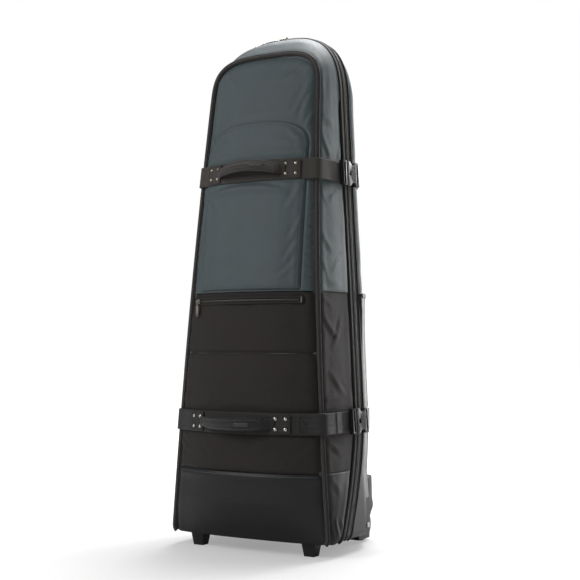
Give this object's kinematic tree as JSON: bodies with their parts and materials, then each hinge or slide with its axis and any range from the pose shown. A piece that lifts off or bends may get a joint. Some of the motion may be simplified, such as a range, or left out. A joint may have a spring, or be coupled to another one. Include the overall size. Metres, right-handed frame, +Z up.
{
  "type": "golf travel case",
  "caption": "Tall soft-sided golf travel case that stands on in-line wheels and feet, with a zipped front lid, a moulded back boot, compression straps with side-release buckles and carry grips.",
  "frame": {"origin": "floor level under the middle of the bounding box", "axes": "+Z up along the case, -Y towards the front panel with the grips, +X to the right of someone facing the front"},
  "size_m": [0.453, 0.4043, 1.2689],
  "materials": {
    "slate_nylon": "satin padded nylon",
    "black_nylon": "matt padded nylon",
    "coated_fabric": "smooth coated fabric",
    "boot_plastic": "satin moulded plastic",
    "board_plastic": "plain sheet",
    "moulded_plastic": "fine texture",
    "buckle_plastic": "polished acetal",
    "piping_trim": "covered cord",
    "zip_tape": "woven tape with coil",
    "webbing": "ribbed webbing",
    "grip_rubber": "ribbed soft grip",
    "foam": "lined foam",
    "zip_metal": "plated",
    "rivet_metal": "antique plated",
    "steel": "plain",
    "wheel_tyre": "smooth polyurethane",
    "wheel_hub": "moulded"
  },
  "bodies": {
    "case": {"back_panel": "slate_nylon", "rear_gusset": "slate_nylon", "rear_boot": "boot_plastic", "base_tray": "moulded_plastic", "back_board": "board_plastic", "zip_tape_rear": "zip_tape", "rear_welt": "piping_trim", "top_foam": "foam", "inner_strap_upper": "webbing", "inner_strap_lower": "webbing", "inner_buckles": "buckle_plastic", "wheel_housing_left": "moulded_plastic", "wheel_housing_right": "moulded_plastic", "axle_left": "steel", "axle_right": "steel", "foot_left": "moulded_plastic", "foot_right": "moulded_plastic", "base_screws": "steel", "rear_strap_upper": "webbing", "rear_strap_lower": "webbing", "socket_upper_left": "buckle_plastic", "socket_upper_right": "buckle_plastic", "socket_lower_left": "buckle_plastic", "socket_lower_right": "buckle_plastic"},
    "lid": {"lid_panel_upper": "slate_nylon", "lid_pocket": "slate_nylon", "lid_panel_mid": "black_nylon", "lid_skid_panel": "coated_fabric", "lid_gusset_upper": "slate_nylon", "lid_gusset_mid": "black_nylon", "lid_gusset_skid": "coated_fabric", "front_piping": "piping_trim", "lid_welt": "piping_trim", "zip_tape_lid": "zip_tape", "pocket_zip": "zip_tape", "strap_upper": "webbing", "strap_lower": "webbing", "strap_slack_loop": "webbing", "handle_patches": "webbing", "rivets": "rivet_metal"},
    "plug_upper_left": {"plug_upper_left": "buckle_plastic"},
    "plug_upper_right": {"plug_upper_right": "buckle_plastic"},
    "plug_lower_left": {"plug_lower_left": "buckle_plastic"},
    "plug_lower_right": {"plug_lower_right": "buckle_plastic"},
    "handle_upper": {"grip_upper": "grip_rubber"},
    "handle_lower": {"grip_lower": "grip_rubber"},
    "zip_slider_left": {"main_slider_left": "zip_metal"},
    "zip_slider_right": {"main_slider_right": "zip_metal"},
    "zip_pull_left": {"main_pull_left": "zip_metal"},
    "zip_pull_right": {"main_pull_right": "zip_metal"},
    "pocket_zip_slider": {"pocket_slider": "zip_metal"},
    "pocket_zip_pull": {"pocket_pull": "zip_metal"},
    "wheel_left": {"tyre_left": "wheel_tyre", "hub_left": "wheel_hub", "bearings_left": "steel"},
    "wheel_right": {"tyre_right": "wheel_tyre", "hub_right": "wheel_hub", "bearings_right": "steel"}
  },
  "joints": [
    {"name": "lid_hinge", "type": "hinge", "parent": "case", "child": "lid", "pos_m": [0, -0.118, 0.032], "axis": [1, 0, 0], "range_deg": [0, 78]},
    {"name": "wheel_left_spin", "type": "hinge", "parent": "case", "child": "wheel_left", "pos_m": [-0.16, 0.162, 0.04], "axis": [1, 0, 0], "continuous": true},
    {"name": "wheel_right_spin", "type": "hinge", "parent": "case", "child": "wheel_right", "pos_m": [0.16, 0.162, 0.04], "axis": [1, 0, 0], "continuous": true},
    {"name": "handle_upper_swing", "type": "hinge", "parent": "lid", "child": "handle_upper", "pos_m": [0, -0.11158, 0.903], "axis": [1, 0, 0], "range_deg": [-18, 70]},
    {"name": "handle_lower_swing", "type": "hinge", "parent": "lid", "child": "handle_lower", "pos_m": [0, -0.17335, 0.306], "axis": [1, 0, 0], "range_deg": [-48, 40]},
    {"name": "buckle_upper_left_release", "type": "slide", "parent": "lid", "child": "plug_upper_left", "axis": [0, -1, 0], "range_m": [0, 0.03]},
    {"name": "buckle_upper_right_release", "type": "slide", "parent": "lid", "child": "plug_upper_right", "axis": [0, -1, 0], "range_m": [0, 0.03]},
    {"name": "buckle_lower_left_release", "type": "slide", "parent": "lid", "child": "plug_lower_left", "axis": [0, -1, 0], "range_m": [0, 0.03]},
    {"name": "buckle_lower_right_release", "type": "slide", "parent": "lid", "child": "plug_lower_right", "axis": [0, -1, 0], "range_m": [0, 0.03]},
    {"name": "zip_slider_left_travel", "type": "hinge", "parent": "case", "child": "zip_slider_left", "pos_m": [-0.044, 0.074, 1.143], "axis": [0, -1, 0], "range_deg": [0, 25]},
    {"name": "zip_slider_right_travel", "type": "hinge", "parent": "case", "child": "zip_slider_right", "pos_m": [-0.004, 0.074, 0.736], "axis": [0, 1, 0], "range_deg": [0, 10.5]},
    {"name": "zip_pull_left_flip", "type": "hinge", "parent": "zip_slider_left", "child": "zip_pull_left", "pos_m": [-0.06614, 0.074, 1.26228], "axis": [0, 1, 0], "range_deg": [0, 110]},
    {"name": "zip_pull_right_flip", "type": "hinge", "parent": "zip_slider_right", "child": "zip_pull_right", "pos_m": [-0.03227, 0.074, 1.26628], "axis": [0, -1, 0], "range_deg": [0, 110]},
    {"name": "pocket_slider_travel", "type": "hinge", "parent": "lid", "child": "pocket_zip_slider", "pos_m": [0, 0.25431, 0.592], "axis": [0, 0, 1], "range_deg": [0, 40.5]},
    {"name": "pocket_pull_swing", "type": "hinge", "parent": "pocket_zip_slider", "child": "pocket_zip_pull", "pos_m": [-0.14066, -0.12189, 0.592], "axis": [-0.9367, 0.3502, 0], "range_deg": [0, 100]}
  ]
}
